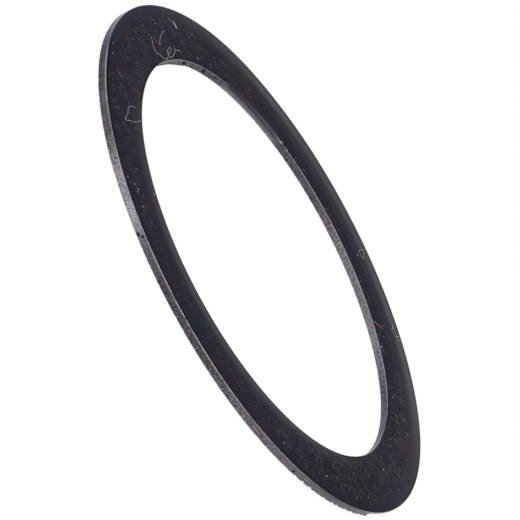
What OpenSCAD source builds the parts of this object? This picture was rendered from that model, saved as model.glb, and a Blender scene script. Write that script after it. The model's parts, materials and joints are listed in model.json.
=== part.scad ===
// Thrust washer: a thin flat ring, blanked and pierced in one stroke from spring steel strip.
// Shearing leaves a rolled-over edge on the upper side, a straight burnished land below it,
// and a torn wall that leans back towards the burr side.
// The ring lies on its burr side. Its axis is +Z, and the origin is the centre of its underside.

/* [Ring] */
// Outer diameter, at the burnished land
outer_d = 71.9; // [70:0.1:120]
// Bore diameter, at the burnished land
bore_d = 56.2; // [40:0.1:58]
// Thickness of the strip
thickness = 1.2; // [1:0.1:3]

/* [Sheared edges] */
// Width of the roll-over along both upper edges
roll_w = 3.2; // [0.5:0.1:3.8]
// How far the roll-over has dropped where it meets the wall
roll_drop = 0.1; // [0.02:0.01:0.2]
// Radius of the worn corner between roll-over and wall
corner_r = 0.1; // [0.05:0.01:0.2]
// Height of the torn part of the wall, above the underside
torn_h = 0.5; // [0.1:0.05:0.6]
// How far the torn part leans back at the underside
torn_lean = 0.04; // [0.01:0.01:0.3]

/* [Eased stretch of the bore edge] */
// Direction of the middle of the eased stretch, from +X
ease_dir = 130; // [0:1:359]
// Half of the angle that the eased stretch takes up
ease_half_angle = 13; // [6:1:30]
// Width of the eased edge on the upper side, at its middle
ease_w = 1.2; // [0.5:0.1:2]
// How far the eased edge comes down the wall, at its middle
ease_drop = 0.5; // [0.2:0.05:0.7]

/* [Hidden] */
$fn = 360;

outer_r = outer_d / 2;
bore_r = bore_d / 2;

// How far a cutting shape runs past the surface that it cuts
over = 0.5;

// Radius of the arc that starts level and drops by "drop" over the width "w"
function roll_radius(w, drop) = (w * w + drop * drop) / (2 * drop);

roll_r = roll_radius(roll_w, roll_drop);
// Height of the roll-over above which the worn corner starts, seen from the upper side
corner_top = sqrt(pow(roll_r, 2) - pow(roll_w - corner_r, 2)) - roll_r;

ease_r = roll_radius(ease_w, ease_drop);
// The easing cutter turns about its own axis, "ease_offset" from the ring's. It reaches the width
// ease_w at the middle of the stretch and leaves the bore's edge at both ends of it.
ease_reach = bore_r + ease_w;
ease_offset = (pow(ease_reach, 2) - pow(bore_r, 2)) / (2 * (ease_reach - bore_r * cos(ease_half_angle)));
ease_cutter_r = ease_reach - ease_offset;

// What is missing from a square upper corner: the roll-over and the worn corner.
// The square corner is at the origin, with the metal to the left of it and below it.
module corner_loss() {
    difference() {
        translate([-roll_w, -roll_drop]) square([roll_w + over, roll_drop + over]);
        translate([-roll_w, -roll_r]) circle(r = roll_r);
    }
    difference() {
        translate([-corner_r, corner_top - corner_r]) square([corner_r + over, corner_r + over]);
        translate([-corner_r, corner_top - corner_r]) circle(r = corner_r);
    }
}

// The ring's section, with the axis along the left edge
module section() {
    difference() {
        polygon([
            [bore_r + torn_lean, 0],
            [outer_r - torn_lean, 0],
            [outer_r, torn_h],
            [outer_r, thickness],
            [bore_r, thickness],
            [bore_r, torn_h]
        ]);
        translate([outer_r, thickness]) corner_loss();
        translate([bore_r, thickness]) mirror([1, 0]) corner_loss();
    }
}

// Takes the bore's upper edge away along one stretch, widest at the middle and fading out at both ends
module easing_cutter() {
    rotate([0, 0, ease_dir])
        translate([ease_offset, 0, 0])
            rotate_extrude()
                difference() {
                    translate([0, thickness - ease_drop - over / 2])
                        square([ease_cutter_r, ease_drop + over]);
                    translate([ease_cutter_r, thickness - ease_r]) circle(r = ease_r);
                }
}

module washer() {
    color([0.19, 0.18, 0.21])
        difference() {
            rotate_extrude() section();
            easing_cutter();
        }
}

washer();
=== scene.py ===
"""Thrust washer: a thin black-oxided steel ring with sheared edges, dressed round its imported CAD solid.

The ring lies flat on a white studio floor, with the lint and dust that cling to its oily face.
Lengths are in millimetres in the dataclasses and in metres in Blender. Directions round the ring
are in degrees from +X, counter-clockwise from above.
"""

import json
import logging
import math
import random
from collections.abc import Sequence
from dataclasses import dataclass, field
from enum import Enum

import bmesh
import bpy
from mathutils import Matrix, Vector, noise

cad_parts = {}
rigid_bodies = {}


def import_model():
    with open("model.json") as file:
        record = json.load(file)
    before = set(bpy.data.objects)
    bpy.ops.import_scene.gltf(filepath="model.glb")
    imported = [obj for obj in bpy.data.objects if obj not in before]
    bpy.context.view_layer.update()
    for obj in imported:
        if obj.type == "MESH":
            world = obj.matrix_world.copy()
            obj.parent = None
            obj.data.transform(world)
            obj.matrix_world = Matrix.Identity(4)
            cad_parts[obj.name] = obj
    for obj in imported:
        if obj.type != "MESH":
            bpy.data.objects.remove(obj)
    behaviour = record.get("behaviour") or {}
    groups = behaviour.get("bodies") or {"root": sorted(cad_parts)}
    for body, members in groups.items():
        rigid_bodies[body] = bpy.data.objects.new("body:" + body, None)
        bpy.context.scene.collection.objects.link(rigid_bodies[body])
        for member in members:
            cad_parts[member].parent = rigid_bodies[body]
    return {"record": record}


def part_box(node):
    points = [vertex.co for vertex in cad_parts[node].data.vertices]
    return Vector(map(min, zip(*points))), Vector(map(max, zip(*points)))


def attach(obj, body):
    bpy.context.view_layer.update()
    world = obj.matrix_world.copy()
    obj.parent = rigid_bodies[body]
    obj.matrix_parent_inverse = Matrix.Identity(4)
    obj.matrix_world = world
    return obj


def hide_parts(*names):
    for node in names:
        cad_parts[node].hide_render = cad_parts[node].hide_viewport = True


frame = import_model()

LOG = logging.getLogger("washer")
MM = 0.001
FRAME_PX = 520.0

Socket = bpy.types.NodeSocket
Pixel = tuple[float, float]


# ---- Shared helpers ----


def srgb(hex_code: str) -> tuple[float, float, float, float]:
    """Turn an sRGB hex colour into linear RGBA.

    Args:
        hex_code: Six hex digits, with or without a leading #.

    Returns:
        Linear red, green and blue, and an alpha of 1.
    """
    digits = hex_code.lstrip("#")
    channels = [int(digits[i : i + 2], 16) / 255 for i in (0, 2, 4)]
    linear = [c / 12.92 if c <= 0.04045 else ((c + 0.055) / 1.055) ** 2.4 for c in channels]
    return (linear[0], linear[1], linear[2], 1.0)


def smooth(edge0: float, edge1: float, x: float) -> float:
    """Rise smoothly from 0 at edge0 to 1 at edge1.

    Args:
        edge0: Where the result is 0.
        edge1: Where the result is 1.
        x: The value to place between them.

    Returns:
        A number from 0 to 1.
    """
    t = min(1.0, max(0.0, (x - edge0) / (edge1 - edge0)))
    return t * t * (3 - 2 * t)


def turn_between(a: float, b: float) -> float:
    """Give the signed angle from direction b to direction a, from -180 to 180 degrees."""
    return (a - b + 180) % 360 - 180


def outward(angle: float) -> Vector:
    """Give the level direction that points away from the axis at an angle in degrees."""
    return Vector((math.cos(math.radians(angle)), math.sin(math.radians(angle)), 0))


def add_node(
    tree: bpy.types.NodeTree,
    kind: str,
    settings: dict[str, object] | None = None,
    inputs: dict[str | int, object] | None = None,
    output: str = "",
) -> Socket | None:
    """Add one shader node to a tree with its settings, values and links.

    Args:
        tree: The node tree that gets the node.
        kind: What the node's type name has after ShaderNode, such as Math.
        settings: Attributes to set on the node itself.
        inputs: Values or output sockets for its inputs, by name or index.
        output: The output that is wanted, or nothing for the first one in use.

    Returns:
        The wanted output, or None if the node has no outputs.
    """
    node = tree.nodes.new("ShaderNode" + kind)
    for name, value in (settings or {}).items():
        setattr(node, name, value)
    for key, value in (inputs or {}).items():
        if isinstance(value, Socket):
            tree.links.new(value, node.inputs[key])
        else:
            node.inputs[key].default_value = value
    return next((out for out in node.outputs if out.enabled and output in ("", out.name)), None)


def new_material(name: str) -> bpy.types.Material:
    """Make a node material whose tree is still empty.

    Args:
        name: The material's name.

    Returns:
        The material.
    """
    made = bpy.data.materials.new(name)
    made.use_nodes = True
    made.node_tree.nodes.clear()
    return made


def new_object(name: str, bm: bmesh.types.BMesh, material: bpy.types.Material) -> bpy.types.Object:
    """Write a bmesh to a new object at the origin, give it its material, and free the bmesh.

    Args:
        name: The object's name.
        bm: The finished bmesh, in metres.
        material: The material of all its faces.

    Returns:
        The linked object.
    """
    mesh = bpy.data.meshes.new(name)
    bm.to_mesh(mesh)
    bm.free()
    mesh.materials.append(material)
    made = bpy.data.objects.new(name, mesh)
    bpy.context.scene.collection.objects.link(made)
    return made


# ---- Camera ----


@dataclass(frozen=True)
class StudioCamera:
    """A long lens that looks down on the ring at a low angle and is rolled about its own axis."""

    elevation: float = 20.02
    roll: float = 62.16
    distance: float = 679.5
    lens: float = 369.4
    sensor: float = 36.0
    aim: tuple[float, float, float] = (0.0, 0.0, 0.62)
    pan: tuple[float, float] = (0.533, 0.187)
    clip_m: tuple[float, float] = (0.01, 20.0)

    def axes(self) -> tuple[Vector, Vector, Vector]:
        """Give the camera's directions.

        Returns:
            Right, up and backward.
        """
        tilt, roll = math.radians(self.elevation), math.radians(self.roll)
        back = Vector((0, -math.cos(tilt), math.sin(tilt)))
        level_right = Vector((1, 0, 0))
        level_up = back.cross(level_right)
        right = level_right * math.cos(roll) + level_up * math.sin(roll)
        up = level_up * math.cos(roll) - level_right * math.sin(roll)
        return right, up, back

    def place(self) -> Vector:
        """Give the camera's place in millimetres."""
        right, up, back = self.axes()
        return Vector(self.aim) + back * self.distance - right * self.pan[0] - up * self.pan[1]

    def on_plane(self, pixel: Pixel, height: float) -> Vector:
        """Find the point of a level plane that one pixel of the frame shows.

        Args:
            pixel: Column and row in the square frame, from its upper left corner.
            height: The plane's height in millimetres.

        Returns:
            The point in millimetres.
        """
        right, up, back = self.axes()
        focal_px = self.lens / self.sensor * FRAME_PX
        half = FRAME_PX / 2
        ray = right * (pixel[0] - half) + up * (half - pixel[1]) - back * focal_px
        start = self.place()
        return start + ray * ((height - start.z) / ray.z)

    def build(self) -> bpy.types.Object:
        """Make the camera and make it the scene's own.

        Returns:
            The camera object.
        """
        data = bpy.data.cameras.new("studio_camera")
        data.lens = self.lens
        data.sensor_width = self.sensor
        data.clip_start, data.clip_end = self.clip_m
        camera = bpy.data.objects.new("studio_camera", data)
        bpy.context.scene.collection.objects.link(camera)
        turn = Matrix(self.axes()).transposed().to_4x4()
        camera.matrix_world = Matrix.Translation(self.place() * MM) @ turn
        bpy.context.scene.camera = camera
        return camera


# ---- Finishes ----


# What the ring's mesh tells its material about each point, as float attributes
MARKS = ("sheared", "worn", "tone", "grit", "blued", "rim", "pit", "soil", "wiped")

# The settings of Math nodes
MULTIPLY = {"operation": "MULTIPLY"}
MULTIPLY_CLAMPED = {"operation": "MULTIPLY", "use_clamp": True}
MULTIPLY_ADD_CLAMPED = {"operation": "MULTIPLY_ADD", "use_clamp": True}
LARGER = {"operation": "MAXIMUM"}


@dataclass(frozen=True)
class Patches:
    """Soft patches of cloudy noise: their size, and the noise levels where they begin and are full."""

    size_mm: float
    low: float
    high: float
    detail: float = 3.0
    roughness: float = 0.6

    def draw(self, tree: bpy.types.NodeTree, place: Socket) -> Socket:
        """Draw the patches.

        Args:
            tree: The material's tree.
            place: Object coordinates.

        Returns:
            The pattern, from 0 between the patches to 1 inside them.
        """
        scale = 1 / (self.size_mm * MM)
        detail = {"Detail": self.detail, "Roughness": self.roughness}
        cloud = add_node(tree, "TexNoise", inputs={"Vector": place, "Scale": scale, **detail})
        levels = {"From Min": self.low, "From Max": self.high}
        return add_node(tree, "MapRange", inputs={"Value": cloud, **levels})


def lay_coats(
    tree: bpy.types.NodeTree, base: object, coats: Sequence[tuple[Socket, object]]
) -> Socket:
    """Lay colours over a base one after another, each as far as its share goes.

    Args:
        tree: The material's tree.
        base: The lowest colour, as a value or a socket.
        coats: The share and the colour of each coat.

    Returns:
        The colour on top.
    """
    for share, coat in coats:
        base = add_node(tree, "Mix", {"data_type": "RGBA"}, {"Factor": share, "A": base, "B": coat})
    return base


@dataclass(frozen=True)
class BlackOxideSteel:
    """Spring steel blackened in a hot oxide bath and oiled.

    The flat sides keep a smooth, nearly black skin whose oil film gives a weak, fairly sharp sheen,
    blurred by faint smears and a fine orange peel. A painted shade line darkens the skin beside the
    corners, and the face is darker along two stretches. The sheared walls took the oxide unevenly: they
    are a mottled metallic grey with dark pits, lighter in some stretches and darker in others by painted
    light and shade, and on the sides that face the camera the corner above them has almost lost its
    oxide, partly as a painted highlight. The marks say where: sheared, worn, tone
    (how light the sheared metal is painted), grit (how coarse its grain looks), blued (a thin, bluish
    oxide), rim (the painted shade line and the darker stretches), pit, soil (where
    small pits and specks crowd the skin) and wiped (where the oil film is thin and mirrors less sharply).
    """

    oxide: str = "2A2632"
    oxide_cool: str = "272733"
    # The painted shade line beside the corners, and the darker stretches of the face
    oxide_warm: str = "2D2830"
    shade_line_and_dark_face_colour: str = "151219"
    oxide_blued: str = "2B3344"
    # The shaded and lit copies of the wall's colour, between which painted light and shade move it along
    # the ring
    wall_shaded: str = "3C3A44"
    wall_shaded_warm: str = "403B42"
    wall_lit: str = "C4C2CE"
    wall_lit_warm: str = "C8C2CA"
    wall_blued: str = "5A5779"
    pit: str = "0A090C"
    # Metal where the corner's oxide is gone and in the wall's flecks; as placed, it is partly a painted
    # highlight and painted glints
    bare_highlight: str = "CCC9CD"
    speck: str = "6E6B77"

    face_roughness: float = 0.095
    wiped_roughness: float = 0.2
    smear: float = 0.15
    wall_roughness: float = 0.5
    pit_roughness: float = 1.0
    wall_metallic: float = 0.8
    coated_metallic: float = 0.1
    # The skin is porous magnetite, so it mirrors less at a low angle than a solid oxide would.
    specular: float = 0.15

    cool_patches: Patches = Patches(9.0, 0.4, 0.6)
    warm_patches: Patches = Patches(3.5, 0.52, 0.7)
    clumps: Patches = Patches(1.7, 0.46, 0.62)
    blots: Patches = Patches(0.55, 0.5, 0.58)
    specks: Patches = Patches(0.42, 0.56, 0.68)
    smears: Patches = Patches(1.1, 0.4, 0.65)
    tint_patches: Patches = Patches(2.6, 0.4, 0.6)
    # Patches that break up the corner's metal, which is partly a painted highlight
    rub_highlight_patches: Patches = Patches(0.4, 0.28, 0.5)
    # The oil's peel and the torn metal's grain are really some 0.05 mm wide, which is too fine to
    # show from here, so they are drawn coarser.
    peel: Patches = Patches(0.3, 0.3, 0.7)
    grain: Patches = Patches(0.17, 0.3, 0.7)
    flecks: Patches = Patches(0.24, 0.62, 0.7)
    streak: float = 0.7
    hollow: float = 0.16

    grain_relief_mm: float = 0.016
    grain_strength: float = 0.7
    peel_relief_mm: float = 0.0018
    pit_relief_mm: float = 0.014

    def material(self) -> bpy.types.Material:
        """Build the node material.

        Returns:
            The material.
        """
        made = new_material("black_oxide_spring_steel")
        tree = made.node_tree
        maps = self.maps(tree)
        # Metal shows on the corner only on the sides that face the camera, partly as a painted highlight
        rub_highlight_patches = self.rub_highlight_patches.draw(tree, maps["place"])
        rub_highlight_share = add_node(tree, "Math", MULTIPLY, {0: rub_highlight_patches, 1: maps["worn"]})
        coats = ((maps["sheared"], self.wall_colour(tree, maps)), (rub_highlight_share, srgb(self.bare_highlight)))
        looks = {
            "Base Color": lay_coats(tree, self.face_colour(tree, maps), coats),
            "Roughness": self.roughness(tree, maps),
            "Metallic": self.metallic(tree, maps),
            "Specular IOR Level": self.specular,
            "Normal": self.relief(tree, maps),
        }
        shader = add_node(tree, "BsdfPrincipled", inputs=looks)
        add_node(tree, "OutputMaterial", inputs={"Surface": shader})
        return made

    def maps(self, tree: bpy.types.NodeTree) -> dict[str, Socket]:
        """Lay out the mesh's marks, and the patterns that several of the shader's inputs share.

        Args:
            tree: The material's tree.

        Returns:
            The marks, the Object coordinates, the skin's pits and specks, and the wall's grain.
        """
        place = add_node(tree, "TexCoord", output="Object")
        maps = {m: add_node(tree, "Attribute", {"attribute_name": m}, output="Fac") for m in MARKS}
        clumps = self.clumps.draw(tree, place)
        crowd = add_node(tree, "Math", MULTIPLY, {0: clumps, 1: maps["soil"]})
        for name, spots in (("pits", self.blots), ("specks", self.specks)):
            maps[name] = add_node(tree, "Math", MULTIPLY, {0: crowd, 1: spots.draw(tree, place)})
        # The grain is drawn out a little in the direction of the punch's stroke.
        scale = (1.0, 1.0, self.streak)
        stroke = add_node(tree, "Mapping", inputs={"Vector": place, "Scale": scale})
        return {**maps, "place": place, "grain": self.grain.draw(tree, stroke)}

    def face_colour(self, tree: bpy.types.NodeTree, maps: dict[str, Socket]) -> Socket:
        """Colour the oxide skin: near-black tints, a blued end, pits, specks, the painted shade line
        beside the corners and the darker stretches of the face.

        Args:
            tree: The material's tree.
            maps: The marks and patterns by name.

        Returns:
            The colour.
        """
        coats = (
            (self.cool_patches.draw(tree, maps["place"]), srgb(self.oxide_cool)),
            (self.warm_patches.draw(tree, maps["place"]), srgb(self.oxide_warm)),
            (maps["blued"], srgb(self.oxide_blued)),
            (maps["pits"], srgb(self.pit)),
            (maps["specks"], srgb(self.speck)),
            # The painted shade line beside the corners, and the darker stretches of the face
            (maps["rim"], srgb(self.shade_line_and_dark_face_colour)),
        )
        return lay_coats(tree, srgb(self.oxide), coats)

    def wall_colour(self, tree: bpy.types.NodeTree, maps: dict[str, Socket]) -> Socket:
        """Colour the sheared wall by its painted light and shade, its grain, its bright flecks (painted
        glints) and its pits.

        Args:
            tree: The material's tree.
            maps: The marks and patterns by name.

        Returns:
            The colour.
        """
        place, grain, grit = maps["place"], maps["grain"], maps["grit"]
        centred = add_node(tree, "Math", {"operation": "SUBTRACT"}, {0: grain, 1: 0.5})
        # How light the wall is painted along the ring, stirred by its grain's mottle, sets how far it
        # goes from the shaded copy of its colour to the lit one
        levels = {0: centred, 1: grit, 2: maps["tone"]}
        level = add_node(tree, "Math", MULTIPLY_ADD_CLAMPED, levels)
        tint = self.tint_patches.draw(tree, place)
        dull = lay_coats(tree, srgb(self.wall_shaded), ((tint, srgb(self.wall_shaded_warm)),))
        bright = lay_coats(tree, srgb(self.wall_lit), ((tint, srgb(self.wall_lit_warm)),))
        # Flecks of metal in the wall: painted glints
        flecks = self.flecks.draw(tree, place)
        glints = add_node(tree, "Math", MULTIPLY_CLAMPED, {0: flecks, 1: grit})
        lowest = {"Value": grain, "From Min": self.hollow, "From Max": 0.0}
        low = add_node(tree, "MapRange", inputs=lowest)
        hollows = add_node(tree, "Math", MULTIPLY_CLAMPED, {0: low, 1: grit})
        pitted = add_node(tree, "Math", LARGER, {0: hollows, 1: maps["pit"]})
        coats = (
            (level, bright),
            (maps["blued"], srgb(self.wall_blued)),
            (glints, srgb(self.bare_highlight)),
            (pitted, srgb(self.pit)),
        )
        return lay_coats(tree, dull, coats)

    def roughness(self, tree: bpy.types.NodeTree, maps: dict[str, Socket]) -> Socket:
        """Set the roughness: sharp in the oil film, less so where it is smeared, dull in pits.

        Args:
            tree: The material's tree.
            maps: The marks and patterns by name.

        Returns:
            The roughness.
        """
        smears = self.smears.draw(tree, maps["place"])
        thinning = {0: smears, 1: self.smear, 2: maps["wiped"]}
        thin = add_node(tree, "Math", MULTIPLY_ADD_CLAMPED, thinning)
        rougher = (
            (thin, self.wiped_roughness),
            (maps["sheared"], self.wall_roughness),
            (maps["pit"], self.pit_roughness),
        )
        level = self.face_roughness
        for share, most in rougher:
            spread = {"Value": share, "To Min": level, "To Max": most}
            level = add_node(tree, "MapRange", inputs=spread)
        return level

    def metallic(self, tree: bpy.types.NodeTree, maps: dict[str, Socket]) -> Socket:
        """Set how metallic the surface is: only sheared metal that no pit or blue oxide covers.

        Args:
            tree: The material's tree.
            maps: The marks and patterns by name.

        Returns:
            The share of metal.
        """
        coated = add_node(tree, "Math", LARGER, {0: maps["pit"], 1: maps["blued"]})
        spread = {"Value": coated, "To Min": self.wall_metallic, "To Max": self.coated_metallic}
        open_metal = add_node(tree, "MapRange", inputs=spread)
        return add_node(tree, "Math", MULTIPLY, {0: maps["sheared"], 1: open_metal})

    def relief(self, tree: bpy.types.NodeTree, maps: dict[str, Socket]) -> Socket:
        """Roughen the normal by the wall's grain, the oil film's peel and the skin's pits.

        Args:
            tree: The material's tree.
            maps: The marks and patterns by name.

        Returns:
            The normal.
        """
        coarse = add_node(tree, "Math", MULTIPLY, {0: maps["grain"], 1: maps["grit"]})
        peel = self.peel.draw(tree, maps["place"])
        normal: Socket | None = None
        for height, relief, strength, inwards in (
            (coarse, self.grain_relief_mm, self.grain_strength, False),
            (peel, self.peel_relief_mm, 1.0, False),
            (maps["pits"], self.pit_relief_mm, 1.0, True),
        ):
            shape = {"Height": height, "Distance": relief * MM, "Strength": strength}
            if normal:
                shape["Normal"] = normal
            normal = add_node(tree, "Bump", {"invert": inwards}, shape)
        return normal


@dataclass(frozen=True)
class Lint:
    """Dyed textile fibre: matt, with a soft fuzz that glows a little at its edges."""

    name: str
    colour: str
    roughness: float = 0.85
    sheen: float = 0.3
    specular: float = 0.2
    fuzz_mm: float = 0.4
    fuzz_detail: float = 2.0
    shade: float = 0.6

    def material(self) -> bpy.types.Material:
        """Build the node material, or hand back the one that is already built.

        Returns:
            The material.
        """
        if self.name in bpy.data.materials:
            return bpy.data.materials[self.name]
        made = new_material(self.name)
        tree = made.node_tree
        place = add_node(tree, "TexCoord", output="Object")
        fuzz_size = {"Scale": 1 / (self.fuzz_mm * MM), "Detail": self.fuzz_detail}
        fuzz = add_node(tree, "TexNoise", inputs={"Vector": place, **fuzz_size})
        full = srgb(self.colour)
        shaded = (*(self.shade * c for c in full[:3]), 1.0)
        looks = {
            "Base Color": lay_coats(tree, shaded, ((fuzz, full),)),
            "Roughness": self.roughness,
            "Sheen Weight": self.sheen,
            "Specular IOR Level": self.specular,
        }
        shader = add_node(tree, "BsdfPrincipled", inputs=looks)
        add_node(tree, "OutputMaterial", inputs={"Surface": shader})
        return made


GREY_LINT = Lint("grey_textile_lint", "B9B7BC")
ROSE_LINT = Lint("rose_textile_lint", "8F7580")
RUST_LINT = Lint("rust_red_textile_lint", "8E5246")
DUST = Lint("pale_mineral_dust", "C6C4CE")


# ---- The ring ----


@dataclass(frozen=True)
class SoilPatch:
    """A part of the face where dust and pits crowd: directions, depths from the bore, and amounts."""

    start: float
    end: float
    inner: float
    outer: float
    pits: float
    grains: int
    end_fade: float = 3.0
    inner_fade: float = 0.5
    outer_fade: float = 0.7

    def at(self, angle: float, depth: float) -> float:
        """Give how crowded the pits are at one place.

        Args:
            angle: The place's direction in degrees.
            depth: Its depth from the bore.

        Returns:
            The crowding, from 0 to 1.
        """
        middle, half = (self.start + self.end) / 2, (self.end - self.start) / 2
        away = abs(turn_between(angle, middle))
        along = 1 - smooth(half - self.end_fade, half + self.end_fade, away)
        past_inner = smooth(self.inner - self.inner_fade, self.inner + self.inner_fade, depth)
        past_outer = smooth(self.outer - self.outer_fade, self.outer + self.outer_fade, depth)
        return self.pits * along * past_inner * (1 - past_outer)


SOIL = (
    SoilPatch(150, 232, 0.8, 6.8, 0.7, 36),
    SoilPatch(130, 152, 0.4, 3.4, 1.0, 12),
    SoilPatch(232, 262, 3.5, 7.2, 0.6, 10),
    SoilPatch(262, 306, 2.0, 7.0, 0.35, 8),
    SoilPatch(306, 352, 0.8, 6.6, 1.0, 48),
    SoilPatch(352, 376, 1.2, 6.0, 0.7, 16),
    SoilPatch(376, 406, 0.3, 4.2, 1.0, 28),
    SoilPatch(46, 116, 0.0, 1.2, 0.9, 36),
)


def soiling(angle: float, depth: float) -> float:
    """Give how crowded the face's pits are at a direction and a depth from the bore."""
    return max(patch.at(angle, depth) for patch in SOIL)


class Zone(Enum):
    """The surfaces that a section passes on its way round the ring's metal."""

    UNDER = 0
    TORN = 1
    LAND = 2
    CORNER = 3
    ROLL = 4
    FACE = 5


class Side(Enum):
    """The runs of the section, in order: up one edge, over the face, down the other, and back."""

    OUTER = 0
    TOP = 1
    BORE = 2
    BOTTOM = 3


@dataclass(frozen=True)
class Stop:
    """One point of the section: the run and the zone it belongs to, and its share of the zone."""

    side: Side
    zone: Zone
    share: float


@dataclass(frozen=True)
class Stretch:
    """A stretch along the ring where something differs by an amount, with soft ends."""

    middle: float
    half: float
    amount: float
    fade: float

    def at(self, angle: float) -> float:
        """Give the amount that is left in one direction."""
        away = abs(turn_between(angle, self.middle))
        return self.amount * (1 - smooth(self.half - self.fade, self.half + self.fade, away))


def stretches(*rows: tuple[float, ...]) -> tuple[Stretch, ...]:
    """Make stretches from rows of their middle, half width, amount and fade."""
    return tuple(Stretch(*row) for row in rows)


def total(parts: tuple[Stretch, ...], angle: float) -> float:
    """Give what stretches amount to together in one direction."""
    return sum(part.at(angle) for part in parts)


# Where the face is darker than elsewhere
DARK_FACE_STRETCHES = stretches((137, 20, 0.4, 12), (338, 20, 0.4, 12))


@dataclass(frozen=True)
class Corner:
    """The width and height of an upper corner along one stretch."""

    stretch: Stretch
    width: float
    height: float


@dataclass(frozen=True)
class Nick:
    """A small hollow knocked into a wall, or a nib that stands out of it if its depth is negative.

    A slanted one shifts along the wall by its slant for each millimetre up.
    """

    angle: float
    height: float
    width: float
    tall: float
    depth: float
    slant: float = 0.0
    core: float = 0.5
    reach: float = 1.1

    def at(self, angle: float, height: float, radius: float) -> float:
        """Give how much of the nick a point of the wall has, from 0 to 1.

        Args:
            angle: The point's direction in degrees.
            height: Its height above the underside.
            radius: The wall's radius.

        Returns:
            1 in the nick's middle and 0 outside it.
        """
        up = height - self.height
        shift = math.radians(turn_between(angle, self.angle)) * radius - self.slant * up
        along, across = shift / (self.width / 2), up / (self.tall / 2)
        return 1 - smooth(self.core, self.reach, math.hypot(along, across))


@dataclass(frozen=True)
class EdgeWearAndLight:
    """How one sheared edge of the ring changes along its way round, with light and shade painted on its
    wall and a highlight painted on its corner.
    """

    corners: tuple[Corner, ...]
    # Light and shade painted along the wall
    wall_lights: tuple[Stretch, ...]
    grits: tuple[Stretch, ...]
    # Where the corner shows metal through its oxide, partly as a painted highlight
    rub_highlights: tuple[Stretch, ...]
    chips: tuple[Stretch, ...]
    rolls: tuple[Stretch, ...]
    nicks: tuple[Nick, ...]
    softs: tuple[Stretch, ...]
    wipes: tuple[Stretch, ...]
    undercuts: tuple[Stretch, ...]
    blues: tuple[Stretch, ...]
    seed: float
    sharp: float = 0.08
    # The least painted light on the wall
    base_wall_light: float = 0.09
    plain_grit: float = 0.4
    roll_drop: float = 0.1
    uneven: float = 0.06
    uneven_mm: float = 3.0
    jag_mm: float = 0.55

    def state(self, angle: float, radius: float) -> "EdgeState":
        """Work out the edge's state in one direction.

        Args:
            angle: The direction in degrees.
            radius: The wall's radius.

        Returns:
            The state.
        """
        width, height = self.sharp, self.sharp
        for corner in self.corners:
            share = corner.stretch.at(angle)
            width += (corner.width - width) * share
            height += (corner.height - height) * share
        way = math.radians(angle) * radius
        jag = noise.noise(Vector((way / self.jag_mm, self.seed, 0.0)))
        swell = 1 + self.uneven * noise.noise(Vector((way / self.uneven_mm, self.seed, 5.0)))
        return EdgeState(
            corner_w=width,
            corner_h=height,
            # Light and shade painted along the wall
            tone=self.base_wall_light + total(self.wall_lights, angle),
            grit=self.plain_grit + total(self.grits, angle),
            # Metal on the corner, partly a painted highlight
            rub_highlight=min(1.0, total(self.rub_highlights, angle)),
            chip=max(0.0, jag) * total(self.chips, angle),
            drop=self.roll_drop * swell * (1 + total(self.rolls, angle)),
            soft=min(1.0, total(self.softs, angle)),
            wiped=min(1.0, total(self.wipes, angle)),
            undercut=total(self.undercuts, angle),
            blued=total(self.blues, angle),
        )


@dataclass(frozen=True)
class EdgeState:
    """An edge in one direction: its corner's size, its wall's look with its painted light and shade, its
    chips and rubbing with their painted highlight, and its roll-over.

    A soft edge has no crisp corner line: it turns from skin to sheared metal little by little.
    """

    corner_w: float
    corner_h: float
    tone: float
    grit: float
    rub_highlight: float
    chip: float
    drop: float
    soft: float
    wiped: float
    undercut: float
    blued: float


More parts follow.
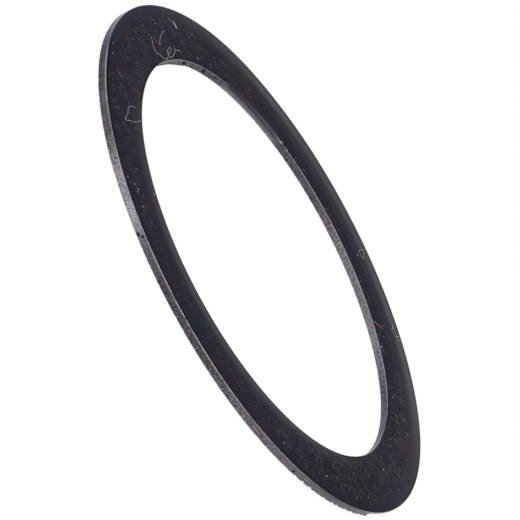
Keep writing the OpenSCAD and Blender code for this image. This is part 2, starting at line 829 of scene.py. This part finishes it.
# Stretches are (middle, half width, amount, fade), in degrees apart from the amount. The outer edge
# has light and shade painted along its wall, and a corner that shows metal on its near side, partly as
# a painted highlight. It is soft and blued about 180 degrees, and is torn back under the face about 354
# degrees. Its burr side is crumbled about 329 degrees.
OUTER_WEAR_AND_LIGHT = EdgeWearAndLight(
    corners=(
        Corner(Stretch(214, 11, 1.0, 4.0), 0.15, 0.17),
        Corner(Stretch(274, 18, 1.0, 3.0), 0.1, 0.12),
        Corner(Stretch(177, 26, 1.0, 7.0), 0.12, 0.12),
    ),
    wall_lights=stretches(
        (190, 9, 0.2, 6), (207, 13, -0.09, 4), (225, 14, 0.09, 6), (245, 8.5, 0.55, 5.5),
        (251, 3.5, 0.15, 1.5), (259, 5, 0.08, 3), (267, 5, -0.03, 3), (291, 4, 0.03, 3),
        (315, 26, 0.13, 8),
    ),
    grits=stretches((242, 11, 0.8, 5), (296, 30, 0.12, 8), (180, 22, -0.2, 6)),
    rub_highlights=stretches(
        (217, 12, 1, 4), (234, 8, 0.7, 4), (246, 10, 0.4, 5), (274, 18, 1, 3), (305, 16, 0.7, 5),
    ),
    chips=stretches((265, 90, 0.06, 10), (329, 14, 0.4, 4)),
    rolls=stretches(
        (8, 28, -0.35, 12), (94, 18, -0.17, 7), (121, 6, 0.05, 4), (141, 14, -0.3, 8),
        (164, 12, -0.3, 8),
    ),
    nicks=(
        Nick(237.4, 0.72, 0.22, 0.4, 0.04), Nick(247.5, 0.12, 0.2, 0.2, 0.04),
        Nick(255.1, 0.66, 0.4, 0.5, 0.06, 0.3), Nick(254.2, 0.24, 0.7, 0.4, 0.08),
        Nick(276.6, 0.6, 0.2, 0.25, 0.03), Nick(277.7, 0.28, 0.25, 0.3, 0.05),
        Nick(290.7, 0.28, 0.3, 0.35, 0.06), Nick(293.2, 0.32, 0.25, 0.35, 0.06),
        Nick(313.6, 0.34, 0.35, 0.4, 0.08), Nick(343.6, 0.1, 0.5, 0.4, -0.1),
    ),
    softs=stretches((176, 25, 1, 5), (354, 12, 0.8, 4), (333, 11, 0.5, 6)),
    wipes=stretches((95, 18, 1, 6), (140, 12, 0.8, 6), (15, 22, 0.6, 8)),
    undercuts=stretches((354.4, 10.2, 0.8, 0.8), (191, 13, -0.08, 6), (222, 22, -0.17, 9)),
    blues=stretches((184, 21, 0.9, 6), (358, 15, 0.2, 5)),
    seed=3.0,
)
# The bore's edge is crisp on its far side, eased about 130 degrees, and nicked about 160 degrees.
# Its wall has light and shade painted along it, and its far corner shows metal, partly as a painted
# highlight.
BORE_WEAR_AND_LIGHT = EdgeWearAndLight(
    corners=(
        Corner(Stretch(7, 13, 1.0, 8.0), 0.2, 0.2),
        Corner(Stretch(130, 12.5, 1.0, 2.5), 1.2, 0.5),
        Corner(Stretch(180, 7, 1.0, 4.0), 0.15, 0.15),
    ),
    wall_lights=stretches(
        (15, 10, 0.12, 8), (66, 24, 0.25, 9), (57, 5, 0.1, 4), (100, 12, 0.04, 6),
        (130, 13, 0.28, 2), (165, 18, -0.14, 5),
    ),
    grits=stretches((68, 24, 0.4, 8), (130, 12.5, -0.3, 2), (32, 14, 0.2, 6), (158, 16, 0.6, 5)),
    rub_highlights=stretches((76, 40, 0.75, 4), (35, 10, 0.8, 4), (116.4, 0.35, 1, 0.25), (158, 14, 0.8, 4)),
    chips=stretches((90, 85, 0.05, 10)),
    rolls=stretches((285, 30, 0.1, 15), (222, 32, -0.2, 12)),
    nicks=(
        Nick(24.6, 1.12, 0.4, 0.3, -0.09), Nick(111.0, 0.3, 0.25, 0.35, 0.1),
        Nick(116.6, 1.1, 0.3, 0.3, -0.05), Nick(115.6, 0.85, 0.35, 0.3, 0.06),
        Nick(146.0, 1.02, 0.3, 0.14, 0.03), Nick(147.6, 0.72, 0.3, 0.2, 0.03),
        Nick(153.4, 0.58, 0.6, 0.85, 0.25, 0.45), Nick(159.2, 0.16, 0.9, 0.4, 0.11),
        Nick(160.7, 0.85, 0.5, 0.26, 0.05), Nick(164.2, 0.46, 0.8, 1.0, 0.17, 1.6),
        Nick(162.5, 0.04, 0.8, 0.3, 0.05),
    ),
    softs=stretches((5, 13, 0.85, 8), (130, 12.5, 1, 2.5), (177, 11, 0.5, 5), (156, 11, 0.25, 4)),
    wipes=stretches((262, 46, 1, 12)),
    undercuts=stretches((172, 9, -0.24, 4)),
    blues=stretches((7, 20, 0.45, 12), (42, 12, 0.12, 6)),
    seed=8.0,
)


@dataclass
class SectionShape:
    """The ring's section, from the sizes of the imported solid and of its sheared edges.

    Where the foot is undercut, the top uncut_h of the land stays straight. The burr side crumbles
    back by a share of each chip's height. Both eases crowd the stops towards the corner.
    """

    outer_r: float
    bore_r: float
    thickness: float
    roll_w: float = 3.2
    torn_h: float = 0.5
    torn_lean: float = 0.04
    crumble: float = 0.8
    uncut_h: float = 0.32
    least_land: float = 0.05
    land_ease: float = 0.5
    roll_ease: float = 1.6
    edge_counts: tuple[tuple[Zone, int], ...] = (
        (Zone.TORN, 7),
        (Zone.LAND, 5),
        (Zone.CORNER, 4),
        (Zone.ROLL, 10),
    )
    face_stops: int = 7
    under_insets: tuple[float, ...] = (0.3, 1.2)

    def stops(self) -> list[Stop]:
        """List the whole section: up the outer edge, in over the face, down the bore, out below.

        Returns:
            The stops in order.
        """
        edge = [(zone, i / n) for zone, n in self.edge_counts for i in range(n)]
        loop = [Stop(Side.OUTER, zone, share) for zone, share in edge]
        loop += [Stop(Side.TOP, Zone.FACE, i / self.face_stops) for i in range(self.face_stops + 1)]
        loop += [Stop(Side.BORE, zone, share) for zone, share in reversed(edge)]
        insets = [inset / (self.outer_r - self.bore_r) for inset in self.under_insets]
        shares = [*insets, 0.5, *(1 - share for share in reversed(insets))]
        return loop + [Stop(Side.BOTTOM, Zone.UNDER, share) for share in shares]

    def roll_fall(self, depth: float, drop: float) -> float:
        """Give how far the roll-over has dropped at a depth into the metal."""
        return drop * max(0.0, 1 - depth / self.roll_w) ** 2

    def cut_share(self, height: float, land_top: float) -> float:
        """Give an undercut's share at a height: all at the foot, none in what is left of the land."""
        return max(0.0, 1 - height / (land_top - self.uncut_h))

    def edge_point(self, stop: Stop, state: EdgeState) -> tuple[float, float]:
        """Place one stop of an edge.

        Args:
            stop: The stop.
            state: The edge's state in its direction.

        Returns:
            The depth into the metal from the wall, and the height above the underside.
        """
        land_top = self.thickness - self.roll_fall(state.corner_w, state.drop) - state.corner_h
        torn_top = min(self.torn_h, land_top - self.least_land)
        if stop.zone is Zone.TORN:
            left = 1 - stop.share
            height = state.chip + (torn_top - state.chip) * stop.share
            lean = self.torn_lean * left + self.crumble * state.chip * left**2
            return lean + state.undercut * self.cut_share(height, land_top), height
        if stop.zone is Zone.LAND:
            height = torn_top + (land_top - torn_top) * stop.share**self.land_ease
            return state.undercut * self.cut_share(height, land_top), height
        if stop.zone is Zone.CORNER:
            turn = stop.share * math.pi / 2
            return state.corner_w * (1 - math.cos(turn)), land_top + state.corner_h * math.sin(turn)
        depth = state.corner_w + (self.roll_w - state.corner_w) * stop.share**self.roll_ease
        return depth, self.thickness - self.roll_fall(depth, state.drop)


@dataclass
class Skin:
    """A point of the ring's surface: its place in the section and its material's attributes."""

    radius: float
    height: float
    sheared: float = 0.0
    worn: float = 0.0
    tone: float = 0.0
    grit: float = 0.0
    blued: float = 0.0
    rim: float = 0.0
    pit: float = 0.0
    soil: float = 0.0
    wiped: float = 0.0


@dataclass
class Washer:
    """The ring itself, spun from its section and then worked over vertex by vertex.

    The ring is bowed: two opposite sides stand off the floor. The painted shade line beside the corner is
    shade_line_w wide and stays full over shade_line_full of that. Between the two shares of the corner's
    turn in crisp, it gives way to sheared metal.
    """

    section: SectionShape
    finish: BlackOxideSteel
    spin_steps: int = 360
    cuts: int = 3
    bow: float = 0.072
    bow_dir: float = 154.5
    ripple: float = 0.008
    ripple_mm: float = 8.0
    grain_mm: float = 0.35
    torn_grain: float = 0.03
    land_grain: float = 0.008
    # How wide the painted shade line beside the corner is, and over how much of that it stays full
    shade_line_w: float = 0.45
    shade_line_full: float = 0.2
    crisp: tuple[float, float] = (0.8, 0.3)
    blued_w: float = 1.6
    soft_h: float = 1.1
    soft_ease: float = 1.2
    states: dict[tuple[Side, float], EdgeState] = field(default_factory=dict)

    def lift(self, angle: float) -> float:
        """Give how far the ring's bow lifts it off the floor in one direction."""
        return self.bow * (1 + math.cos(math.radians(2 * (angle - self.bow_dir))))

    def swell(self, angle: float, radius: float) -> float:
        """Give the slight unevenness of the upper face at one place."""
        spot = outward(angle) * (radius / self.ripple_mm)
        return self.ripple * noise.noise(spot)

    def top(self, point: Vector) -> float:
        """Give the height of the upper face at a place, for what lies on it.

        Args:
            point: The place in millimetres; its height isn't used.

        Returns:
            The height of the face above the floor.
        """
        radius, angle = math.hypot(point.x, point.y), math.degrees(math.atan2(point.y, point.x))
        shape = self.section
        side = Side.OUTER if 2 * radius > shape.outer_r + shape.bore_r else Side.BORE
        depth = max(0.0, shape.outer_r - radius if side is Side.OUTER else radius - shape.bore_r)
        fall = shape.roll_fall(depth, self.edge_state(side, angle).drop)
        return shape.thickness - fall + self.swell(angle, radius) + self.lift(angle)

    def edge_state(self, side: Side, angle: float) -> EdgeState:
        """Give the state of an edge in one direction, worked out once per direction.

        Args:
            side: The outer edge or the bore's.
            angle: The direction in degrees.

        Returns:
            The state.
        """
        key = (side, round(angle, 2))
        if key not in self.states:
            outer = side is Side.OUTER
            edge_look = OUTER_WEAR_AND_LIGHT if outer else BORE_WEAR_AND_LIGHT
            radius = self.section.outer_r if outer else self.section.bore_r
            self.states[key] = edge_look.state(angle, radius)
        return self.states[key]

    def skin(self, stop: Stop, angle: float) -> Skin:
        """Place and dress one stop in one direction.

        Args:
            stop: The stop.
            angle: The direction in degrees.

        Returns:
            The point of the surface.
        """
        shape = self.section
        if stop.side is Side.TOP:
            outer, inner = shape.outer_r - shape.roll_w, shape.bore_r + shape.roll_w
            radius = outer + (inner - outer) * stop.share
            soil = soiling(angle, radius - shape.bore_r)
            return Skin(radius, shape.thickness, rim=total(DARK_FACE_STRETCHES, angle), soil=soil)
        if stop.side is Side.BOTTOM:
            foot = Stop(Side.OUTER, Zone.TORN, 0.0)
            edges = (self.edge_state(side, angle) for side in (Side.OUTER, Side.BORE))
            outer_in, bore_in = (shape.edge_point(foot, edge)[0] for edge in edges)
            inner, outer = shape.bore_r + bore_in, shape.outer_r - outer_in
            return Skin(inner + (outer - inner) * stop.share, 0.0)
        return self.edge_skin(stop, angle)

    def edge_skin(self, stop: Stop, angle: float) -> Skin:
        """Place and dress one stop of a sheared edge in one direction.

        Args:
            stop: The stop.
            angle: The direction in degrees.

        Returns:
            The point of the surface.
        """
        shape = self.section
        outer = stop.side is Side.OUTER
        edge_look = OUTER_WEAR_AND_LIGHT if outer else BORE_WEAR_AND_LIGHT
        wall_r = shape.outer_r if outer else shape.bore_r
        inwards = -1.0 if outer else 1.0
        state = self.edge_state(stop.side, angle)
        depth, height = shape.edge_point(stop, state)
        # The wall's lightness along the ring is painted light and shade
        skin = Skin(wall_r, height, tone=state.tone)
        skin.blued = state.blued * (1 - smooth(0.0, self.blued_w, depth))
        below = min(1.0, max(0.0, (shape.thickness - height) / self.soft_h))
        eased = state.soft * below**self.soft_ease
        if stop.zone is Zone.ROLL:
            # A painted shade line darkens the skin beside the corner; the darker stretches of the face
            # join it
            shade_line_share = 1 - smooth(self.shade_line_full, 1.0, (depth - state.corner_w) / self.shade_line_w)
            skin.rim = max(shade_line_share * (1 - state.soft), total(DARK_FACE_STRETCHES, angle) * stop.share)
            skin.soil = soiling(angle, shape.outer_r - shape.bore_r - depth if outer else depth)
            skin.sheared = eased
            skin.wiped = state.wiped * (1 - stop.share)
        else:
            corner = stop.zone is Zone.CORNER
            crisp = smooth(*self.crisp, stop.share) if corner else 1.0
            skin.sheared = crisp * (1 - state.soft) + eased
            # The corner's metal, where it shows through, is partly a painted highlight
            skin.worn = state.rub_highlight * crisp * (1 - state.soft) if corner else 0.0
            # The lower part of the corner's turn carries the same painted shade line
            skin.rim = (1 - state.soft) * (1 - crisp)
            dents = [(nick.depth, nick.at(angle, height, wall_r)) for nick in edge_look.nicks]
            skin.pit = max((share for deep, share in dents if deep > 0), default=0.0)
            depth += sum(deep * share for deep, share in dents)
            rough = {Zone.TORN: self.torn_grain, Zone.LAND: self.land_grain}.get(stop.zone, 0.0)
            spot = outward(angle) * wall_r + Vector((0, 0, height))
            depth += rough * (0.5 + noise.noise(spot / self.grain_mm))
        skin.grit = state.grit * skin.sheared
        skin.radius += inwards * depth
        return skin

    def build(self) -> bpy.types.Object:
        """Build the ring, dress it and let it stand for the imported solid.

        Returns:
            The ring.
        """
        stops = self.section.stops()
        bm = bmesh.new()
        which = bm.verts.layers.float.new("stop")
        start = []
        for index, stop in enumerate(stops):
            skin = self.skin(stop, 0.0)
            vert = bm.verts.new((skin.radius * MM, 0.0, skin.height * MM))
            vert[which] = index
            start.append(vert)
        edges = [bm.edges.new(pair) for pair in zip(start, start[1:] + start[:1])]
        bmesh.ops.spin(
            bm,
            geom=[*start, *edges],
            cent=(0, 0, 0),
            axis=(0, 0, 1),
            angle=math.tau,
            steps=self.spin_steps,
            use_merge=True,
        )
        round_ring = [e for e in bm.edges if e.verts[0][which] == e.verts[1][which]]
        bmesh.ops.subdivide_edges(bm, edges=round_ring, cuts=self.cuts)
        bmesh.ops.recalc_face_normals(bm, faces=bm.faces)
        self.work_over(bm, stops)
        bm.verts.layers.float.remove(bm.verts.layers.float["stop"])
        ring = new_object("ring", bm, self.finish.material())
        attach(ring, "root")
        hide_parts("washer")
        return ring

    def work_over(self, bm: bmesh.types.BMesh, stops: list[Stop]) -> None:
        """Move every vertex to its worn place and write its attributes.

        Args:
            bm: The spun ring, with each vertex's stop in the layer "stop".
            stops: The section's stops.
        """
        layers = {name: bm.verts.layers.float.new(name) for name in MARKS}
        which = bm.verts.layers.float["stop"]
        for vert in bm.verts:
            angle = math.degrees(math.atan2(vert.co.y, vert.co.x)) % 360
            skin = self.skin(stops[round(vert[which])], angle)
            share_up = skin.height / self.section.thickness
            height = skin.height + share_up * self.swell(angle, skin.radius) + self.lift(angle)
            vert.co = (outward(angle) * skin.radius + Vector((0, 0, height))) * MM
            for name, layer in layers.items():
                vert[layer] = getattr(skin, name)
        foot = {i for i, s in enumerate(stops) if s.zone is Zone.TORN and s.share == 0}
        for edge in bm.edges:
            ends = {round(v[which]) for v in edge.verts}
            edge.smooth = not (len(ends) == 1 and ends <= foot)
        for face in bm.faces:
            face.smooth = True


# ---- Lint and dust ----


@dataclass(frozen=True)
class Fibre:
    """A fibre that lies on the ring's face, along a route that is given in the camera's frame.

    A spindle thins towards its ends, and a flat one has sunk into the oil by what it lacks of 1.
    """

    name: str
    finish: Lint
    route: tuple[Pixel, ...]
    thick: float = 0.09
    spindle: float = 0.0
    flat: float = 1.0

    def build(self, camera: StudioCamera, washer: Washer) -> bpy.types.Object:
        """Lay the fibre on the ring.

        Args:
            camera: The camera that the route is seen through.
            washer: The ring that carries the fibre.

        Returns:
            The fibre.
        """
        curve = bpy.data.curves.new(self.name, "CURVE")
        curve.dimensions = "3D"
        curve.bevel_depth = self.thick / 2 * MM
        curve.bevel_resolution = 2
        curve.resolution_u = 6
        curve.use_fill_caps = True
        spline = curve.splines.new("BEZIER")
        spline.bezier_points.add(len(self.route) - 1)
        for index, (pixel, point) in enumerate(zip(self.route, spline.bezier_points)):
            point.co = lay_on(camera, washer, pixel, self.thick * self.flat / 2) * MM
            point.handle_left_type = point.handle_right_type = "AUTO"
            along = index / (len(self.route) - 1)
            point.radius = 1 - self.spindle * abs(2 * along - 1)
        drawn = bpy.data.objects.new(self.name + "_route", curve)
        mesh = bpy.data.meshes.new_from_object(drawn)
        bm = bmesh.new()
        bm.from_mesh(mesh)
        bmesh.ops.remove_doubles(bm, verts=bm.verts, dist=0.001 * MM)
        bmesh.ops.recalc_face_normals(bm, faces=bm.faces)
        for face in bm.faces:
            face.smooth = True
        for spare in (drawn, curve, mesh):
            bpy.data.batch_remove([spare])
        made = new_object(self.name, bm, self.finish.material())
        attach(made, "root")
        return made


def lay_on(camera: StudioCamera, washer: Washer, pixel: Pixel, raise_by: float) -> Vector:
    """Find the place on the ring's face that a pixel shows.

    Args:
        camera: The camera.
        washer: The ring.
        pixel: The pixel.
        raise_by: How far above the face the place is.

    Returns:
        The place in millimetres.
    """
    spot = camera.on_plane(pixel, washer.section.thickness)
    for _ in range(3):
        spot = camera.on_plane(pixel, washer.top(spot) + raise_by)
    return spot


# Routes in the camera's frame, in pixels: one long curled fibre with its side shoot, a kinked
# rose-coloured one, a short flat one, a hooked one near the bore, a small loop and a red tuft.
FIBRES = (
    Fibre(
        "lint_curl",
        GREY_LINT,
        (
            (151.4, 37.2), (152.1, 41.0), (152.9, 45.0), (155.3, 51.3), (160.3, 55.2),
            (164.5, 59.0), (166.0, 59.2), (168.1, 55.6), (167.2, 52.2), (168.7, 48.7),
            (170.3, 47.8), (170.5, 51.0), (168.9, 55.6), (170.6, 57.3), (172.5, 56.5),
            (174.1, 54.0), (175.2, 51.0), (176.4, 50.4), (179.8, 51.0),
        ),
    ),
    Fibre("lint_shoot", GREY_LINT, ((173.4, 47.3), (174.6, 48.4), (175.6, 50.2)), 0.06),
    Fibre(
        "lint_rose",
        ROSE_LINT,
        ((153.4, 37.4), (154.6, 39.6), (156.1, 41.8), (158.4, 44.1), (160.4, 44.9)),
        0.12,
    ),
    Fibre(
        "lint_tail",
        GREY_LINT,
        ((160.2, 44.6), (159.6, 41.0), (160.1, 38.0), (161.0, 34.9), (163.8, 31.0)),
    ),
    Fibre("lint_thread", GREY_LINT, ((168.3, 18.6), (169.8, 21.0), (171.6, 23.4)), 0.08),
    Fibre("lint_stick", GREY_LINT, ((172.7, 21.7), (174.6, 25.4), (176.6, 28.8)), 0.34, 0.3, 0.5),
    Fibre(
        "lint_hook",
        GREY_LINT,
        (
            (135.3, 107.6), (132.6, 106.7), (129.6, 106.2), (127.9, 109.5), (127.8, 113.4),
            (126.5, 116.4), (125.5, 119.3), (127.5, 120.4), (130.2, 120.5), (132.4, 121.6),
            (136.1, 122.1), (139.0, 121.5), (140.6, 120.5),
        ),
        0.075,
    ),
    Fibre("lint_blob", GREY_LINT, ((125.7, 117.9), (125.2, 119.7)), 0.16, 0.3),
    Fibre(
        "lint_loop",
        GREY_LINT,
        (
            (360.3, 246.8), (361.4, 249.2), (362.9, 252.2), (363.5, 255.6), (362.6, 258.2),
            (360.7, 255.7), (359.4, 253.2), (359.3, 250.7), (361.5, 249.9), (363.7, 249.3),
        ),
        0.085,
    ),
    Fibre(
        "lint_red_tuft",
        RUST_LINT,
        ((373.6, 321.9), (375.4, 323.4), (378.2, 325.7), (381.4, 328.2)),
        0.4,
        0.45,
        0.6,
    ),
    Fibre("lint_red_hair", RUST_LINT, ((381.2, 326.8), (382.4, 325.6), (383.6, 324.4)), 0.05),
    Fibre("lint_tick", GREY_LINT, ((399.4, 336.5), (396.4, 338.7), (400.0, 340.5))),
    Fibre("lint_wisp", GREY_LINT, ((391.0, 324.4), (392.6, 326.6), (391.8, 329.4))),
)


@dataclass
class Dust:
    """Dust grains on the ring's face: big and coarse ones at known places and drifts of fine ones."""

    big: Sequence[Pixel] = (
        (153.6, 194.7), (134.1, 184.3), (137.0, 192.1), (326.2, 476.4), (407.2, 435.2),
        (112.0, 53.3), (197.1, 58.6), (381.0, 347.0),
    )
    coarse: Sequence[Pixel] = (
        (153.0, 19.8), (154.7, 23.4), (165.4, 22.3), (191.3, 35.5), (192.6, 22.2), (161.4, 50.4),
        (119.3, 73.5), (121.4, 76.6), (137.6, 189.6), (112.4, 42.9), (133.4, 39.3), (138.7, 39.2),
        (357.0, 498.0), (345.0, 485.6), (349.0, 489.4), (383.0, 470.0), (389.4, 446.0),
        (403.6, 420.0), (398.0, 491.0), (388.0, 427.0), (399.0, 477.0), (406.0, 460.0),
        (368.0, 498.0), (142.4, 206.8), (127.4, 176.7), (282.0, 142.0), (357.1, 255.3),
        (374.6, 322.4), (381.5, 328.4), (392.2, 327.3), (383.3, 336.7), (392.5, 397.5),
        (390.0, 439.6), (321.3, 458.6), (283.3, 443.2),
    )
    patches: Sequence[SoilPatch] = SOIL
    big_size: tuple[float, float] = (0.27, 0.36)
    coarse_size: tuple[float, float] = (0.17, 0.28)
    fine_size: tuple[float, float] = (0.04, 0.12)
    drift_mm: float = 1.3
    drift_level: float = 0.25
    grain_ranges: tuple[tuple[float, float], ...] = ((0.7, 1.3), (0.7, 1.0), (0.4, 0.7))
    small_bias: float = 2.0
    rise: float = 0.4
    seed: int = 11

    def build(self, camera: StudioCamera, washer: Washer) -> bpy.types.Object:
        """Scatter the grains over the ring's face, as one piece.

        Args:
            camera: The camera that the coarse grains' places are seen through.
            washer: The ring.

        Returns:
            The dust.
        """
        draw = random.Random(self.seed)
        bm = bmesh.new()
        for pixels, size in ((self.big, self.big_size), (self.coarse, self.coarse_size)):
            for pixel in pixels:
                self.add_grain(bm, draw, lay_on(camera, washer, pixel, 0.0), size)
        for patch in self.patches:
            left = patch.grains
            while left > 0:
                radius = washer.section.bore_r + draw.uniform(patch.inner, patch.outer)
                spot = outward(draw.uniform(patch.start, patch.end)) * radius
                if noise.noise(spot / self.drift_mm) < self.drift_level:
                    continue
                spot.z = washer.top(spot)
                self.add_grain(bm, draw, spot, self.fine_size)
                left -= 1
        made = new_object("dust", bm, DUST.material())
        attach(made, "root")
        return made

    def add_grain(
        self, bm: bmesh.types.BMesh, draw: random.Random, spot: Vector, size: tuple[float, float]
    ) -> None:
        """Add one squat, crooked grain that rests on the face.

        Args:
            bm: The dust's bmesh.
            draw: The source of its random numbers.
            spot: Its place in millimetres.
            size: The least and greatest width.
        """
        least, most = size
        width = least + (most - least) * draw.random() ** self.small_bias
        stretch = [draw.uniform(*span) for span in self.grain_ranges]
        centre = spot + Vector((0, 0, width * stretch[2] * self.rise))
        matrix = (
            Matrix.Translation(centre * MM)
            @ Matrix.Rotation(draw.uniform(0, math.tau), 4, "Z")
            @ Matrix.Diagonal((*stretch, 1.0))
        )
        bmesh.ops.create_icosphere(bm, subdivisions=1, radius=width / 2 * MM, matrix=matrix)


# ---- Studio ----


@dataclass
class Studio:
    """A white floor and a low white surround under one large soft lamp, in a dark room."""

    floor_r: float = 3200.0
    surround_h: float = 1070.0
    crest_h: float = 930.0
    bright_h: float = 870.0
    shade_h: float = 770.0
    surround_crest: float = 0.75
    surround_foot: float = 0.18
    lamp_d: float = 1600.0
    lamp_h: float = 1000.0
    lamp_power: float = 13.0
    room_grey: float = 0.08
    floor_albedo: float = 0.8
    shadow_share: float = 0.15
    floor_glow: float = 0.88
    sides: int = 96

    def build(self) -> None:
        """Make the floor, the surround, the lamp and the world."""
        bpy.context.scene.view_settings.view_transform = "Standard"
        self.floor()
        self.surround()
        self.lamp()
        self.world()

    def floor(self) -> None:
        """Lay the floor: white to the camera and in reflections, with the ring's shadow on it."""
        material = new_material("white_floor_paper")
        tree = material.node_tree
        seen = add_node(tree, "LightPath", output="Is Camera Ray")
        for ray in ("Is Glossy Ray", "Is Transmission Ray"):
            seen = add_node(tree, "Math", LARGER, {0: seen, 1: add_node(tree, "LightPath", output=ray)})
        lit, shown = self.floor_albedo, self.shadow_share
        tint = lay_coats(tree, (lit, lit, lit, 1), ((seen, (shown, shown, shown, 1)),))
        matt = add_node(tree, "BsdfDiffuse", inputs={"Color": tint})
        strength = add_node(tree, "Math", MULTIPLY, {0: seen, 1: self.floor_glow})
        glow = add_node(tree, "Emission", inputs={"Strength": strength})
        both = add_node(tree, "AddShader", inputs={0: matt, 1: glow})
        add_node(tree, "OutputMaterial", inputs={"Surface": both})
        bm = bmesh.new()
        bmesh.ops.create_circle(bm, cap_ends=True, segments=self.sides, radius=self.floor_r * MM)
        new_object("floor", bm, material)

    def surround(self) -> None:
        """Stand the low surround round the floor: white card, brightest in a band below its top."""
        material = new_material("white_surround_card")
        tree = material.node_tree
        place = add_node(tree, "TexCoord", output="Object")
        height = add_node(tree, "SeparateXYZ", inputs={"Vector": place}, output="Z")
        ramps = []
        for start, end, least in (
            (self.shade_h, self.bright_h, self.surround_foot),
            (self.surround_h, self.crest_h, 0.0),
        ):
            span = {"From Min": start * MM, "From Max": end * MM}
            levels = {"To Min": least, "To Max": self.surround_crest}
            ramps.append(add_node(tree, "MapRange", inputs={"Value": height, **span, **levels}))
        brightness = add_node(tree, "Math", {"operation": "MINIMUM"}, dict(enumerate(ramps)))
        glow = add_node(tree, "Emission", inputs={"Strength": brightness})
        add_node(tree, "OutputMaterial", inputs={"Surface": glow})
        bm = bmesh.new()
        bmesh.ops.create_circle(bm, segments=self.sides, radius=self.floor_r * MM)
        raised = bmesh.ops.extrude_edge_only(bm, edges=bm.edges[:])
        top = [v for v in raised["geom"] if isinstance(v, bmesh.types.BMVert)]
        bmesh.ops.translate(bm, verts=top, vec=(0, 0, self.surround_h * MM))
        new_object("surround", bm, material)

    def lamp(self) -> None:
        """Hang the soft lamp over the ring."""
        data = bpy.data.lights.new("overhead_softbox", "AREA")
        data.shape = "DISK"
        data.size = self.lamp_d * MM
        data.energy = self.lamp_power
        lamp = bpy.data.objects.new("overhead_softbox", data)
        lamp.location = (0, 0, self.lamp_h * MM)
        lamp.visible_camera = False
        bpy.context.scene.collection.objects.link(lamp)

    def world(self) -> None:
        """Make the dark room."""
        world = bpy.data.worlds.new("dark_room")
        world.use_nodes = True
        bpy.context.scene.world = world
        tree = world.node_tree
        tree.nodes.clear()
        background = add_node(tree, "Background", inputs={"Strength": self.room_grey})
        add_node(tree, "OutputWorld", inputs={"Surface": background})


# ---- Main ----


def packed_section() -> SectionShape:
    """Read the ring's outer size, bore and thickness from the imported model.

    Returns:
        The section's shape.
    """
    low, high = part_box("washer")
    bores = [m for m in frame["record"]["mounts"] if m["kind"] == "bore"]
    return SectionShape(
        outer_r=(high.x - low.x) / 2 / MM,
        bore_r=bores[0]["dims"]["r_mm"],
        thickness=(high.z - low.z) / MM,
    )


def main() -> None:
    """Build the ring, what lies on it and the studio, and report each of them."""
    logging.basicConfig(level=logging.INFO, format="%(message)s")
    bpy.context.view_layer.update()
    camera = StudioCamera()
    camera.build()
    washer = Washer(packed_section(), BlackOxideSteel())
    pieces = [washer.build()]
    pieces += [fibre.build(camera, washer) for fibre in FIBRES]
    pieces.append(Dust().build(camera, washer))
    for piece in pieces:
        LOG.info("%s: %d faces", piece.name, len(piece.data.polygons))
    Studio().build()


if __name__ == "__main__":
    main()
